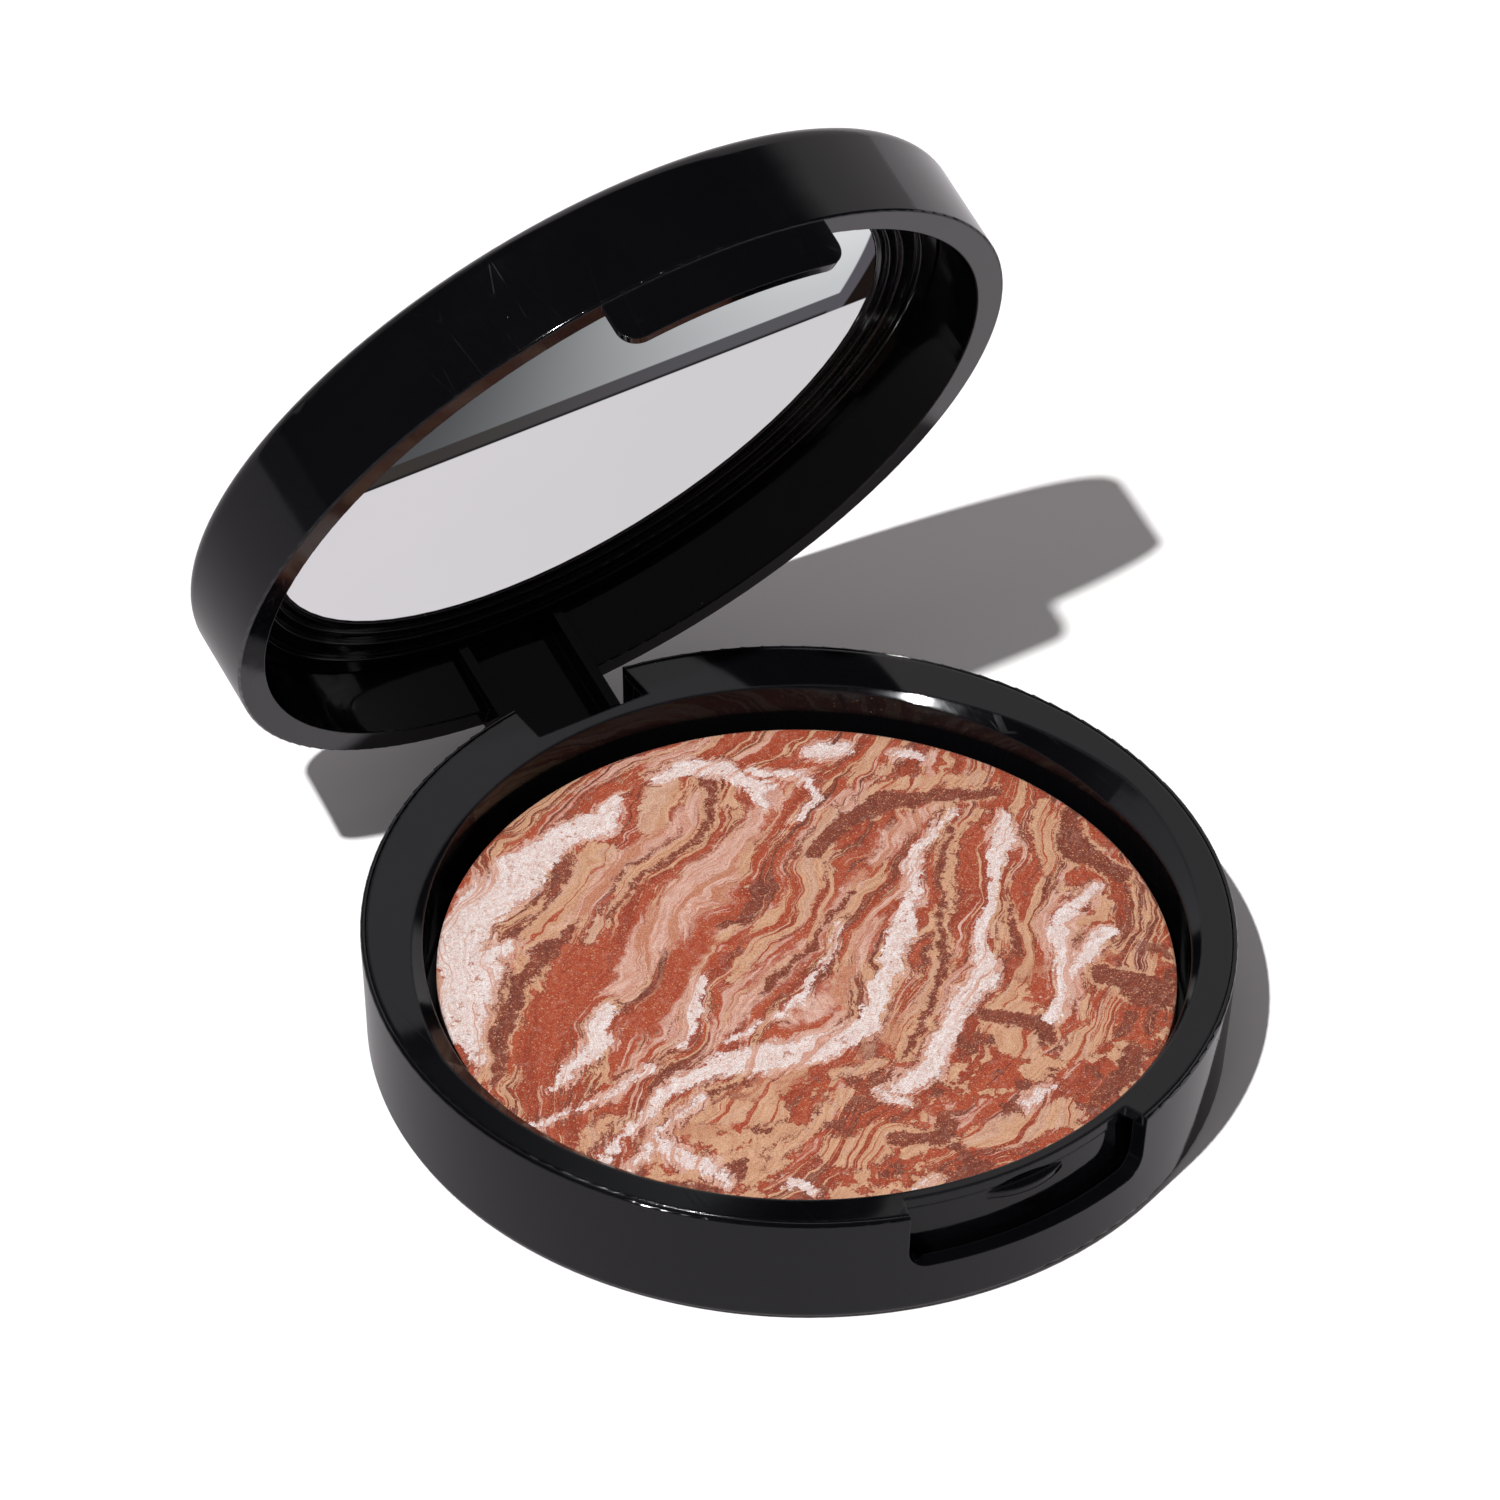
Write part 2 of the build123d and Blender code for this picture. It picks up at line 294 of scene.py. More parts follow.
HANDLING = make_handling()
HAIRLINES = make_hairlines()
DUST = make_dust()
EDGE_WEAR = make_edge_wear()
GRAIN = make_grain()


# ---------------------------------------------------------------- finishes
def gloss_black(name, least, most, rounded=0.00012):
    """High-gloss black injection moulding: a barely wavy skin, smears, hairlines and rubbed edges."""
    material, tree, shader = finish_coat(name, IOR=1.5)
    spot = millimetres(tree)
    gloss = use(tree, HANDLING, {"Place": spot, "Size": 8.0, "Least": least, "Most": most})
    lines = use(tree, HAIRLINES, {"Place": spot, "Spacing": 5.0, "Width": 0.006})["Scratches"]
    dust = use(tree, DUST, {"Place": spot, "Speck": 0.11, "Apart": 2.6, "Amount": 0.35})["Dust"]
    edge = use(tree, EDGE_WEAR, {"Place": spot, "Reach": 0.00022, "Patchy": 0.5})["Edge"]
    pigment = lay_over(tree, speckle(tree, spot, 0.15, 2.0), tint("050507"), tint("08080a"))
    pigment = lay_over(tree, sums(tree, "MULTIPLY", edge, 0.35), pigment, tint("2a2b30"))
    pigment = lay_over(tree, sums(tree, "MULTIPLY", dust, 0.5), pigment, tint("8d8a88"))
    tree.links.new(pigment, shader["Base Color"])
    rough = sums(tree, "MULTIPLY_ADD", lines, 0.10, gloss["Roughness"])
    rough = sums(tree, "MULTIPLY_ADD", edge, 0.06, rough)
    rough = sums(tree, "MULTIPLY_ADD", dust, 0.35, rough, clamp=True)
    tree.links.new(rough, shader["Roughness"])
    wave = speckle(tree, spot, 0.35, 1.0, 0.3)
    skin = sums(tree, "MULTIPLY_ADD", wave, 1.0, sums(tree, "MULTIPLY", lines, -0.05))
    skin = sums(tree, "MULTIPLY_ADD", dust, 0.2, skin)
    softened = place(tree, "Bevel", {"Radius": rounded}, samples=6).outputs[0]
    emboss(tree, shader, skin, 0.05, 0.0001, softened)
    return material


def silvered_glass():
    """Mirror: silver behind clear glass, with a few smears and hairlines on the face."""
    material, tree, shader = finish_coat("silvered_glass", Metallic=1.0, IOR=1.5)
    spot = millimetres(tree)
    smears = use(tree, HANDLING, {"Place": spot, "Size": 12.0, "Least": 0.012, "Most": 0.035})
    lines = use(tree, HAIRLINES, {"Place": spot, "Spacing": 9.0, "Width": 0.003})["Scratches"]
    dust = use(tree, DUST, {"Place": spot, "Speck": 0.09, "Apart": 3.4, "Amount": 0.3})["Dust"]
    silver = lay_over(tree, speckle(tree, spot, 0.05, 2.0), tint("eef0ef"), tint("e9ecee"))
    silver = lay_over(tree, sums(tree, "MULTIPLY", dust, 0.35), silver, tint("a9a5a2"))
    tree.links.new(silver, shader["Base Color"])
    rough = sums(tree, "MULTIPLY_ADD", lines, 0.05, smears["Roughness"])
    tree.links.new(sums(tree, "MULTIPLY_ADD", dust, 0.3, rough), shader["Roughness"])
    emboss(tree, shader, speckle(tree, spot, 0.04, 1.0), 0.01, 0.00005)
    return material


def fired_clay():
    """Unglazed terracotta of the tile that the powder is baked on."""
    material, tree, shader = finish_coat("fired_clay", IOR=1.5)
    spot = millimetres(tree)
    grain = use(tree, GRAIN, {"Place": spot, "Grain": 0.2, "Pits": 1.6})
    edge = use(tree, EDGE_WEAR, {"Place": spot, "Reach": 0.0004, "Patchy": 0.7})["Edge"]
    clay = lay_over(tree, speckle(tree, spot, 0.25, 5.0, 0.6), tint("b5684a"), tint("c98560"))
    # Painted shade: the clay darkens in the grain's pits.
    clay = lay_over(tree, sums(tree, "MULTIPLY", grain["Pit"], 0.6), clay, tint("6d3a29"))
    clay = lay_over(tree, sums(tree, "MULTIPLY", edge, 0.5), clay, tint("d8a587"))
    tree.links.new(clay, shader["Base Color"])
    tree.links.new(soft_step(tree, grain["Tone"], 0.2, 0.8, 0.72, 0.95), shader["Roughness"])
    emboss(tree, shader, grain["Height"], 0.5, 0.0001)
    return material


def drawn_steel():
    """Bright drawn wire of the hinge pin, with lines along its length."""
    material, tree, shader = finish_coat("drawn_steel", Metallic=1.0)
    spot = millimetres(tree)
    drawn = speckle(tree, stretched(tree, spot, (0.15, 9.0, 9.0)), 1.0, 3.0, 0.6)
    edge = use(tree, EDGE_WEAR, {"Place": spot, "Reach": 0.0002, "Patchy": 0.3})["Edge"]
    steel = lay_over(tree, drawn, tint("9b9b9d"), tint("b9b9ba"))
    steel = lay_over(tree, sums(tree, "MULTIPLY", edge, 0.6), steel, tint("d6d6d6"))
    tree.links.new(steel, shader["Base Color"])
    tree.links.new(soft_step(tree, drawn, 0.2, 0.8, 0.18, 0.42), shader["Roughness"])
    emboss(tree, shader, drawn, 0.2, 0.00002)
    return material


def hot_glue():
    """Milky spread of adhesive under the tile and behind the mirror."""
    material, tree, shader = finish_coat("hot_glue", IOR=1.48)
    spot = millimetres(tree)
    ripple = speckle(tree, spot, 0.5, 3.0, 0.5)
    tree.links.new(lay_over(tree, ripple, tint("cfc8b6"), tint("e3decf")), shader["Base Color"])
    tree.links.new(soft_step(tree, ripple, 0.3, 0.7, 0.25, 0.5), shader["Roughness"])
    emboss(tree, shader, ripple, 0.4, 0.0002)
    return material


def label_film():
    """Satin black vinyl disc under the base, left blank."""
    material, tree, shader = finish_coat("label_film", IOR=1.46)
    spot = millimetres(tree)
    weave = speckle(tree, spot, 6.0, 2.0, 0.5)
    smears = use(tree, HANDLING, {"Place": spot, "Size": 6.0, "Least": 0.38, "Most": 0.5})
    edge = use(tree, EDGE_WEAR, {"Place": spot, "Reach": 0.0004, "Patchy": 0.6})["Edge"]
    film = lay_over(tree, weave, tint("1b1b1d"), tint("222226"))
    film = lay_over(tree, sums(tree, "MULTIPLY", edge, 0.6), film, tint("55555a"))
    tree.links.new(film, shader["Base Color"])
    tree.links.new(smears["Roughness"], shader["Roughness"])
    emboss(tree, shader, weave, 0.15, 0.00003)
    return material


# ---------------------------------------------------------------- marbled powder
CAKE_LOW, CAKE_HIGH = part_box("powder_cake")
CAKE_CENTRE = (CAKE_LOW + CAKE_HIGH) / 2
CAKE_R = (CAKE_HIGH.x - CAKE_LOW.x) / 2
CAKE_DROP = 0.00075  # how much lower the face is at its rim than in the middle
CAKE_ROUND = 0.00045  # rounding of the rim
CAKE_INSET = 0.00001  # how far the turned cake stays inside the plain one
CAKE_LIFT = 0.00002  # how far its foot stays above the plain one's
CAKE_AROUND = 560  # points round each ring
CAKE_RING = 0.00036  # from one ring to the next
RIM_STEPS = 6  # points down the rounded rim
PALE_RISE = 0.000018  # how far the pale swirls stand up
UMBER_SINK = 0.00002  # how far the umber ones lie below the face
SOFT_EDGE = 0.3  # millimetres over which a swirl rises or sinks
BROAD_WAVE = 0.00004  # the pressed face's own unevenness
FACE_CLEARANCE = 0.00005  # keeps that unevenness below the plain cake's face

# The drag of the powders: its direction in radians, the face's reach in millimetres, and how much
# the swirls draw together towards both ends.
DRAG = 0.60
FACE_REACH = 34.0
DRAW_TOGETHER = 0.45

# The drift of the swirls' edges: size and reach of each wave in millimetres, and its seed.
DRIFTS = [(9.0, 1.7, 3.1), (3.0, 0.6, 8.7), (1.2, 0.35, 5.9)]

# How high each drift of powder has to stand before it shows: a higher level leaves less of it.
BROAD_TAN_LEVEL = 0.548
BROAD_UMBER_LEVEL = 0.597
LONG_TAN_LEVEL = 0.592
LONG_PALE_LEVEL = 0.615
LONG_UMBER_LEVEL = 0.588
CLOT_LEVEL, CLOT_TAN_LEVEL, CLOT_UMBER_LEVEL = 0.50, 0.545, 0.575

# Swirls of the five powders, each a run of (x, y, half width) in millimetres from the compact's centre.
PALE_SWIRLS = [
    [(-29, 9, 2.0), (-24, 16.5, 2.3), (-19, 21, 2.3), (-11, 23, 1.8), (-5, 23.5, 1.3), (-2, 25.5, .5)],
    [(-30.5, 4, .7), (-28, 9, 1.7), (-23, 13.5, 1.2), (-20, 14, .4)],
    [(-27, -3.6, .3), (-24, -1.5, .8), (-21, -.4, 1.2), (-18.4, 2, .8)],
    [(-15.6, -3.9, .4), (-12, -1.6, .8), (-8.7, 1.4, .4)],
    [(-31, -6.6, .3), (-26, -6.8, .25), (-20.4, -6, .4), (-19, -5.4, .6)],
    [(-29, -12.5, .35), (-24, -10.6, .4), (-19, -9.2, .7), (-14, -8.4, .9), (-9.5, -10.2, 1.2),
     (-5, -10.8, 1.2), (.5, -9.8, 1.0), (5, -7, .8), (9.5, -2.8, .8), (13, 2, .6), (17, 6.4, .5),
     (22.5, 9.2, .3)],
    [(-28, -14.6, .25), (-22, -12.6, .2), (-17, -11.4, .3)],
    [(-12, -7, .25), (-6, -6.4, .3), (0, -3.6, .25), (6, 1.4, .2)],
    [(-2.5, -18.2, .8), (2, -17, 1.1), (7, -15, 1.1), (11.5, -11.5, 1.0), (14.4, -7, .7), (17, -3.2, .6),
     (20, -.4, .5), (23.6, 3, .9), (25.2, 6, .5)],
    [(-4, -18, .5), (-2.4, -20.4, .4)],
    [(14.4, -18, .6), (17, -14.6, .8), (20.5, -10.2, .9), (23.5, -7, .7), (27, -5.8, .5)],
    [(18, -14, .5), (21.5, -13, .8), (24.8, -11.6, .7)],
    [(-23.2, -14, .8), (-21.4, -17.6, .7), (-20.4, -20.6, .4)],
    [(-15.8, -23.2, .8), (-14.6, -25, .4)],
    [(2.6, 26.4, .8), (5.4, 27, 1.1), (8, 25.2, 1.1), (10, 21.4, .8), (8.6, 18.6, .5)],
    [(11.2, 23.4, .6), (13, 20.4, .5), (12.2, 16.8, .4), (9, 15.6, .3)],
    [(16, 22.4, .8), (18.4, 21.6, .7)],
    [(22.6, 18, .6), (24, 16.8, .5)],
    [(-10, -31, .3), (-5, -30, .3)],
    [(6, -26.4, .4), (9.4, -26, .3)],
]
BLUSH_SWIRLS = [
    [(-16.4, 3.6, 1.0), (-12, 6.8, 1.6), (-7, 9.6, 1.9), (-2.5, 11.8, 1.9), (3.5, 15.5, 1.3),
     (7.5, 18, .6)],
    [(-14, -6.6, .5), (-8, -4, .8), (-2.6, -1.8, 1.0), (2, .8, .9), (7, 3.6, .6), (10.4, 6, .4)],
    [(-6.4, -7.4, .5), (0, -6, .8), (4, -4.2, .7), (8, -.2, .5)],
    [(-20, 12, .6), (-14, 14.6, .8), (-6.6, 18, .8), (.6, 20.6, .7), (5.6, 22.6, .5)],
    [(12.6, 7, .6), (17.5, 9.6, 1.0), (21.6, 10.6, .4)],
    [(-26, 13.6, 1.2), (-21, 18, .8)],
]
TAN_SWIRLS = [
    [(-31.4, 1, .9), (-27.5, 5, 1.4), (-22.6, 9.6, 1.2), (-16, 15.4, 1.5), (-10, 18, 1.6),
     (-6.6, 20, 1.2)],
    [(-6.4, -.2, .8), (-2, 3.4, 1.6), (3.6, 6.4, 1.8), (9.6, 11, 1.6), (12, 14.6, .9)],
    [(-1.6, 21.4, 1.0), (2, 24.4, 1.2), (3.8, 26.6, .7)],
    [(-13.6, 12, .7), (-6, 15.8, .9), (1.8, 18.6, .9)],
    [(15.5, 14.6, .7), (21, 15, .8), (26.6, 11.8, .9)],
    [(1.4, -13.6, .5), (6.4, -11, .7), (11, -6.4, .7), (14.4, -.8, .5), (19, 4.6, .6), (24, 8, .4)],
    [(24.8, -2, .8), (27, 2, 1.2), (28.8, 5.2, .9)],
    [(-18, -12.8, .9), (-15.4, -14.4, 1.9), (-12.4, -15, 1.5), (-11.4, -12.8, .8)],
    [(-10.6, -22.6, 1.5), (-8, -24.6, 2.3), (-5.6, -23, 1.5)],
    [(-16.4, -20.4, .5), (-11, -18.8, .5), (-6.6, -17.6, .7)],
    [(1, -27.4, 1.6), (5, -28.6, 1.7), (9.4, -29, 1.2)],
    [(9.4, -20.4, 1.6), (12.4, -15.4, 1.5), (13.4, -13, .6)],
    [(13, -22.8, 1.0), (17.4, -21.6, 1.7), (21, -18.8, 1.0)],
    [(22, -9.6, 1.2), (23.6, -8.6, .8)],
    [(-29, -10.6, .6), (-25.4, -9.6, .9), (-22.6, -9.8, .5)],
    [(16.6, -4.6, .9), (17.6, -7, .9)],
    [(24.6, -4.4, .5), (26.6, -8.4, .5)],
    [(19.4, 17, .5), (20.4, 17, .5)],
    [(-5.4, -14.6, .6), (-1.4, -14.4, .7)],
    [(28.8, 3, .6), (30.6, -3, .7)],
]
UMBER_SWIRLS = [
    [(-31.4, -.8, .5), (-27, 5, .9), (-23, 9.6, .7), (-17.6, 12.6, .8), (-14, 14.2, .3)],
    [(-12, 12.6, .25), (-5, 15.2, .35), (1, 18, .35), (5.4, 21.2, .5), (6.4, 25, .9), (5, 26.8, .7)],
    [(8.6, 10.4, .9), (13, 12.8, 1.1), (18, 13.2, 1.3), (22, 12, 1.0), (26.8, 9.2, .5)],
    [(30.4, 3, 1.0), (28.6, -1, 1.4), (30, -5.4, 1.1)],
    [(-5.4, -3.4, .35), (-1.6, -1.6, .45), (3, 1.4, .3), (8, 4, .25)],
    [(.8, -14.4, .3), (5, -13, .35), (10, -8, .3), (15.4, 1.6, .3), (21, 7, .3)],
    [(10.4, -15, .6), (12, -17.6, 1.1), (14, -18, .7), (12.6, -20.2, .8)],
    [(21, -15.4, .9), (24, -19.6, 1.8)],
    [(-5, -24.4, .9), (-2, -25.6, 1.2), (-.4, -24, .7)],
    [(13, -28.4, .9), (17, -26.4, 1.1), (19.6, -24.6, .7)],
    [(-25.4, -18, 1.1), (-22.6, -20.4, .9)],
    [(-21.4, -12, .3), (-16.6, -11, .35), (-12.6, -11.4, .3)],
    [(16.4, -9, .35), (18.6, -6.6, .4), (19.4, -4, .3)],
    [(-10.6, 22.6, .2), (-16, 18.6, .25)],
    [(-16, -4.6, .2), (-22, -5, .25)],
]
OPEN_RUST = [
    [(-29, -2.4, .6), (-22.4, 5, 2.2), (-17, 8.8, 2.2), (-12.6, 11.4, .8)],
    [(-17, -1, .8), (-12, 2.2, 1.3), (-7, 5.4, 1.2), (-5, 8.4, .5)],
]


def across_swirl(x, y):
    """How far along and across the drag a point lies: it runs up to the right and narrows at both ends."""
    along = x * math.cos(DRAG) + y * math.sin(DRAG)
    side = -x * math.sin(DRAG) + y * math.cos(DRAG)
    return along, side / (1.0 - DRAW_TOGETHER * np.clip(along / FACE_REACH, -1, 1) ** 2)


def depth_in(runs, x, y):
    """Distance to the nearest swirl of one powder, below zero inside it, in millimetres."""
    nearest = np.full(x.shape, 9.0)
    for run in runs:
        for (ax, ay, aw), (bx, by, bw) in zip(run, run[1:]):
            dx, dy = bx - ax, by - ay
            t = np.clip(((x - ax) * dx + (y - ay) * dy) / (dx * dx + dy * dy), 0, 1)
            gap = np.hypot(x - ax - t * dx, y - ay - t * dy) - (aw + t * (bw - aw))
            nearest = np.minimum(nearest, gap)
    return nearest


def wander(x, y, size, reach, seed):
    """A slow drift of the swirls' edges, the same on every run."""
    spots = [(a / size, b / size) for a, b in zip(x, y)]
    along = [noise.noise(Vector((a, b, seed))) for a, b in spots]
    across = [noise.noise(Vector((a + 17.3, b - 9.1, seed + 4.7))) for a, b in spots]
    return np.stack([along, across], 1) * reach


def dome(r):
    """Height of the cake's gently domed face at one radius."""
    return CAKE_HIGH.z - CAKE_DROP * (r / CAKE_R) ** 2 - CAKE_INSET


def cake_profile():
    """Radius and height down the cake: its face, its rounded rim, its side and its foot."""
    last = CAKE_R - CAKE_ROUND
    profile = [(i * CAKE_RING, dome(i * CAKE_RING)) for i in range(1, int(last / CAKE_RING))]
    profile.append((last, dome(last)))
    for k in range(1, RIM_STEPS + 1):
        a = math.radians(90 - 90 // RIM_STEPS * k)
        r = last + CAKE_ROUND * math.cos(a) - CAKE_INSET
        profile.append((r, dome(last) - CAKE_ROUND + CAKE_ROUND * math.sin(a)))
    side, foot = CAKE_R - CAKE_INSET, CAKE_LOW.z + CAKE_LIFT
    return profile + [(side, CAKE_HIGH.z - CAKE_DROP - 0.0016), (side, foot), (CAKE_R * 0.5, foot)]


def turn_cake(profile):
    """Points and faces of the profile turned once round the cake's centre."""
    turns = [2 * math.pi * k / CAKE_AROUND for k in range(CAKE_AROUND)]
    points = [(0.0, 0.0, dome(0.0))]
    points += [(r * math.cos(a), r * math.sin(a), z) for r, z in profile for a in turns]
    points.append((0.0, 0.0, CAKE_LOW.z + CAKE_LIFT))
    beside = [(k, (k + 1) % CAKE_AROUND) for k in range(CAKE_AROUND)]
    faces = [(0, 1 + k, 1 + n) for k, n in beside]
    for j in range(len(profile) - 1):
        a, b = 1 + j * CAKE_AROUND, 1 + (j + 1) * CAKE_AROUND
        faces += [(a + k, b + k, b + n, a + n) for k, n in beside]
    a, tip = 1 + (len(profile) - 1) * CAKE_AROUND, len(points) - 1
    faces += [(a + k, tip, a + n) for k, n in beside]
    return np.array(points), faces


def press_powder_cake():
    """The baked cake as its own turned mesh, with a faint relief of the swirls on its face."""
    points, faces = turn_cake(cake_profile())
    points[:, 0] += CAKE_CENTRE.x
    points[:, 1] += CAKE_CENTRE.y
    x, y = points[:, 0] * 1000, points[:, 1] * 1000
    shift = sum(wander(x, y, size, reach, seed) for size, reach, seed in DRIFTS)
    wx, wy = x + shift[:, 0], y + shift[:, 1]
    depths = {
        "pale": depth_in(PALE_SWIRLS, wx, wy),
        "blush": depth_in(BLUSH_SWIRLS, wx, wy),
        "tan": depth_in(TAN_SWIRLS, wx, wy),
        "umber": depth_in(UMBER_SWIRLS, wx, wy),
        "rust": depth_in(OPEN_RUST, wx, wy),
    }

    def swell(name):
        return np.clip(-depths[name], -SOFT_EDGE, SOFT_EDGE) / SOFT_EDGE

    along, side = across_swirl(wx, wy)
    relief = PALE_RISE * swell("pale") - UMBER_SINK * swell("umber")
    broad = np.array([noise.noise(Vector((a / 3.0, b / 3.0, 1.7))) for a, b in zip(x, y)]) * BROAD_WAVE
    on_face = points[:, 2] > CAKE_HIGH.z - CAKE_DROP - 0.0002
    points[:, 2] += np.where(on_face, np.minimum(relief + broad - FACE_CLEARANCE, 0.0), 0.0)
    mesh = bpy.data.meshes.new("marbled_powder_cake")
    mesh.from_pydata(points.tolist(), [], faces)
    for name, values in depths.items():
        layer = mesh.attributes.new(name, "FLOAT", "POINT")
        layer.data.foreach_set("value", values.astype(np.float32))
    flow = np.stack([along, side, np.zeros_like(side)], 1).astype(np.float32)
    mesh.attributes.new("swirl", "FLOAT_VECTOR", "POINT").data.foreach_set("vector", flow.ravel())
    mesh.shade_smooth()
    cake = bpy.data.objects.new("marbled_powder_cake", mesh)
    bpy.context.scene.collection.objects.link(cake)
    return cake


def marbled_powder():
    """Baked face powder: rust marbled with tan, umber, pale and blush, with shimmer and pressed grain."""
    sheen = {"Sheen_Weight": 0.04, "Sheen_Roughness": 0.4}
    material, tree, shader = finish_coat("marbled_powder", IOR=1.45, **sheen)
    spot = millimetres(tree)

    def painted(name, output="Fac"):
        return place(tree, "Attribute", attribute_name=name).outputs[output]

    def times(a, b):
        return sums(tree, "MULTIPLY", a, b)

    ragged = speckle(tree, spot, 1.1, 9.0, 0.70)
    grains = speckle(tree, spot, 5.0, 3.0, 0.6)
    ragged_off = sums(tree, "SUBTRACT", ragged, 0.5)
    torn = sums(tree, "MULTIPLY_ADD", sums(tree, "SUBTRACT", grains, 0.5), 0.4, ragged_off)

    def vectors(how, a, b):
        return place(tree, "VectorMath", {0: a, 1: b}, operation=how).outputs[0]

    slow = {"Vector": spot, "Scale": 0.10, "Detail": 2.0, "Roughness": 0.35}
    eddy = vectors("SUBTRACT", place(tree, "TexNoise", slow).outputs["Color"], (0.5, 0.5, 0.5))
    eddy = vectors("MULTIPLY", eddy, (13.0, 7.5, 0.0))
    flow = vectors("ADD", painted("swirl", "Vector"), eddy)

    def dragged(scale, layer, detail=8.0, rough=0.62, bite=0.10):
        """One powder's drift along the swirls, with its edge bitten ragged."""
        own_place = stretched(tree, flow, scale, shift=(layer * 3.7, layer * 5.3, layer))
        return sums(tree, "MULTIPLY_ADD", torn, bite, speckle(tree, own_place, 1.0, detail, rough))

    broad_tan = dragged((0.05, 0.34, 1.0), 1.0)
    broad_umber = dragged((0.06, 0.42, 1.0), 2.0)
    broad_blush = dragged((0.045, 0.36, 1.0), 4.0)
    long_tan = dragged((0.028, 0.85, 1.0), 5.0, 7.0, 0.6, 0.07)
    long_umber = dragged((0.03, 1.05, 1.0), 6.0, 7.0, 0.6, 0.07)
    long_pale = dragged((0.03, 0.75, 1.0), 7.0, 7.0, 0.6, 0.08)
    streaky = speckle(tree, stretched(tree, flow, (0.3, 2.6, 1.0)), 1.0, 6.0, 0.65)
    grain = use(tree, GRAIN, {"Place": spot, "Grain": 0.11, "Pits": 0.8})
    open_rust = soft_step(tree, sums(tree, "MULTIPLY_ADD", torn, 1.5, painted("rust")), -0.5, 0.7)

    def two_tone(one, other):
        return lay_over(tree, soft_step(tree, streaky, 0.36, 0.64), one, other)

    def above(layer, level, width=0.008):
        return soft_step(tree, layer, level - width, level + width)

    def line_at(layer, level, width):
        """A hair line that follows the edge of a layer, broken here and there."""
        near = sums(tree, "ABSOLUTE", sums(tree, "SUBTRACT", layer, level))
        return times(soft_step(tree, near, width, width * 0.4), soft_step(tree, streaky, 0.47, 0.53))

    rust = two_tone(tint("9e3b1f"), tint("ab4c2d"))
    rust = lay_over(tree, soft_step(tree, broad_blush, 0.50, 0.40, 0.0, 0.7), rust, tint("8a311a"))
    tan = two_tone(tint("d0a382"), tint("c08c6c"))
    umber = two_tone(tint("873f29"), tint("6c2f21"))
    blush = two_tone(tint("d9b1a2"), tint("c68f7a"))
    pale = two_tone(tint("e8dedb"), tint("dcc6c0"))
    drifts = [
        (above(broad_tan, BROAD_TAN_LEVEL), tan),
        (line_at(broad_tan, 0.544, 0.010), umber),
        (soft_step(tree, broad_blush, 0.565, 0.61, 0.0, 0.9), blush),
        (above(long_tan, LONG_TAN_LEVEL), tan),
        (above(broad_umber, BROAD_UMBER_LEVEL), umber),
        (above(long_pale, LONG_PALE_LEVEL), blush),
        (above(long_umber, LONG_UMBER_LEVEL), umber),
    ]
    body = rust
    for shows, powder in drifts:
        body = lay_over(tree, times(shows, open_rust), body, powder)

    front = soft_step(tree, place(tree, "SeparateXYZ", {0: spot}).outputs[1], -9.0, -17.0)
    clots = sums(tree, "MULTIPLY_ADD", torn, 0.12, speckle(tree, spot, 0.17, 8.0, 0.6))
    elsewhere = stretched(tree, spot, (1, 1, 1), shift=(9, 4, 2))
    dark_clots = sums(tree, "MULTIPLY_ADD", torn, 0.12, speckle(tree, elsewhere, 0.21, 8.0, 0.6))
    body = lay_over(tree, times(times(above(clots, CLOT_LEVEL), front), open_rust), body, rust)
    body = lay_over(tree, times(above(clots, CLOT_TAN_LEVEL), front), body, tan)
    body = lay_over(tree, times(times(line_at(clots, 0.543, 0.008), front), open_rust), body, umber)
    body = lay_over(tree, times(above(dark_clots, CLOT_UMBER_LEVEL), front), body, umber)

    def swirled(name, bite, wide=0.09):
        """The listed swirls of one powder: the distance to them, and a mask of where they show."""
        depth = sums(tree, "MULTIPLY_ADD", torn, bite, painted(name))
        streaks = sums(tree, "SUBTRACT", streaky, 0.5)
        depth = sums(tree, "MULTIPLY_ADD", streaks, bite * 0.45, depth)
        return depth, soft_step(tree, depth, wide, -wide)

    def haloed(under, depth, near, far, colour, patch):
        """A thin band of another powder dragged along the outside of a swirl."""
        begins = soft_step(tree, depth, near - 0.08, near + 0.08)
        band = times(begins, soft_step(tree, depth, far + 0.08, far - 0.08))
        return lay_over(tree, times(band, patch), under, colour)

    tan_depth, tan_mask = swirled("tan", 3.0)
    body = haloed(body, tan_depth, 0.12, 0.34, umber, soft_step(tree, broad_umber, 0.49, 0.52))
    body = lay_over(tree, tan_mask, body, tan)
    dusty_tan = two_tone(tint("cda68c"), tint("c19078"))
    body = lay_over(tree, times(tan_mask, above(long_pale, 0.54)), body, dusty_tan)
    body = lay_over(tree, times(tan_mask, above(long_umber, 0.575)), body, rust)
    blush_mask = swirled("blush", 3.4, 0.5)[1]
    body = lay_over(tree, blush_mask, body, blush)
    warm_blush = two_tone(tint("b77357"), tint("bf8468"))
    body = lay_over(tree, times(blush_mask, above(long_tan, 0.55)), body, warm_blush)
    umber_depth, umber_mask = swirled("umber", 2.2)
    body = haloed(body, umber_depth, 0.1, 0.45, tan, soft_step(tree, broad_tan, 0.46, 0.49))
    body = lay_over(tree, umber_mask, body, umber)
    pale_depth, pale_mask = swirled("pale", 2.6)
    body = haloed(body, pale_depth, 0.1, 0.55, blush, soft_step(tree, broad_blush, 0.47, 0.50))
    body = haloed(body, pale_depth, 0.5, 0.78, umber, soft_step(tree, broad_umber, 0.50, 0.52))
    body = lay_over(tree, pale_mask, body, pale)
    body = lay_over(tree, times(pale_mask, above(long_tan, 0.57)), body, blush)
